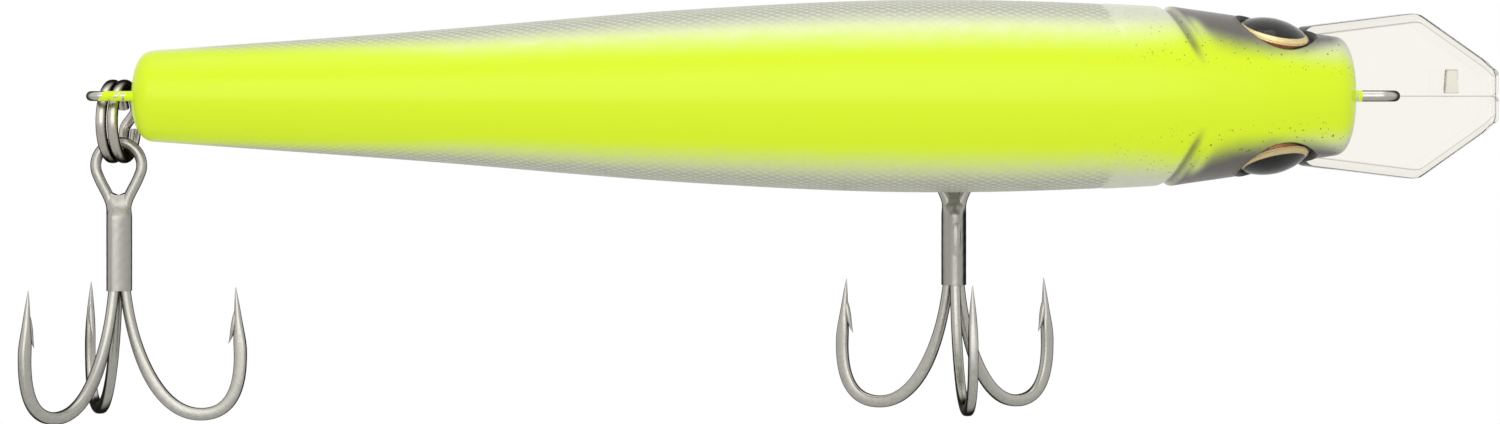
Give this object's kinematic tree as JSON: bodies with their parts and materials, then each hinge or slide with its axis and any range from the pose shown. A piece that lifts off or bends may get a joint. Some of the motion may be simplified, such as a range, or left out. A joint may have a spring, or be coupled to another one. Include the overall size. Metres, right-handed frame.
{
  "type": "crankbait lure",
  "caption": "Minnow-shaped crankbait with a clear diving lip, wire eyes, split rings and swinging treble hooks.",
  "frame": {"origin": "centre of the line tie's eye at the nose", "axes": "+X towards the nose, -Y towards the back, +Y towards the belly, +Z towards the left flank; the lure lies on its flank and its trebles hang along -Z"},
  "size_m": [0.1341, 0.0298, 0.0378],
  "materials": {
    "painted_body": "fluorescent chartreuse back over pearl flanks, clear coat; the lip is left clear",
    "tie_wire": "stainless wire with overspray",
    "hanger_wire": "stainless wire",
    "split_ring": "nickel",
    "hook_steel": "satin tin over carbon steel",
    "braze": "smooth tin",
    "eye_foil": "gold foil",
    "eye_lens": "domed smoked resin",
    "ballast": "cast heavy alloy",
    "tube": "clear plastic",
    "ball": "polished steel"
  },
  "bodies": {
    "lure_body": {"left_half_shell": "painted_body", "right_half_shell": "painted_body", "line_tie_wire": "tie_wire", "belly_hook_hanger": "hanger_wire", "tail_hook_hanger": "hanger_wire", "left_eye_foil": "eye_foil", "right_eye_foil": "eye_foil", "left_eye_lens": "eye_lens", "right_eye_lens": "eye_lens", "front_ballast": "ballast", "weight_tube": "tube"},
    "front_transfer_ball": {"front_transfer_ball": "ball"},
    "rear_transfer_ball": {"rear_transfer_ball": "ball"},
    "rattle_ball": {"rattle_ball": "ball"},
    "front_ring": {"front_split_ring": "split_ring"},
    "rear_ring": {"rear_split_ring": "split_ring"},
    "front_treble": {"front_treble_double_hook": "hook_steel", "front_treble_third_hook": "hook_steel", "front_treble_braze": "braze"},
    "rear_treble": {"rear_treble_double_hook": "hook_steel", "rear_treble_third_hook": "hook_steel", "rear_treble_braze": "braze"}
  },
  "joints": [
    {"name": "front_ring_swing", "type": "hinge", "parent": "lure_body", "child": "front_ring", "pos_m": [-0.03745, 0.01384, 0], "axis": [1, 0, 0], "range_deg": [-5, 185]},
    {"name": "front_treble_swing", "type": "hinge", "parent": "front_ring", "child": "front_treble", "pos_m": [-0.03745, 0.01384, -0.00592], "axis": [0, 1, 0], "range_deg": [-45, 45]},
    {"name": "rear_ring_swing", "type": "hinge", "parent": "lure_body", "child": "rear_ring", "pos_m": [-0.11365, 0.0022, 0], "axis": [1, 0, 0], "range_deg": [-10, 190]},
    {"name": "rear_treble_swing", "type": "hinge", "parent": "rear_ring", "child": "rear_treble", "pos_m": [-0.11365, 0.0022, -0.00592], "axis": [0, 1, 0], "range_deg": [-45, 85]},
    {"name": "front_transfer_ball_roll", "type": "slide", "parent": "lure_body", "child": "front_transfer_ball", "axis": [-1, 0, 0], "range_m": [0, 0.02015]},
    {"name": "rear_transfer_ball_roll", "type": "slide", "parent": "lure_body", "child": "rear_transfer_ball", "axis": [-1, 0, 0], "range_m": [0, 0.02015]},
    {"name": "rattle_ball_roll", "type": "slide", "parent": "lure_body", "child": "rattle_ball", "axis": [-1, 0, 0], "range_m": [0, 0.0034]}
  ],
  "couplings": [
    {"joint": "rear_transfer_ball_roll", "follows": "front_transfer_ball_roll", "ratio": 1}
  ]
}
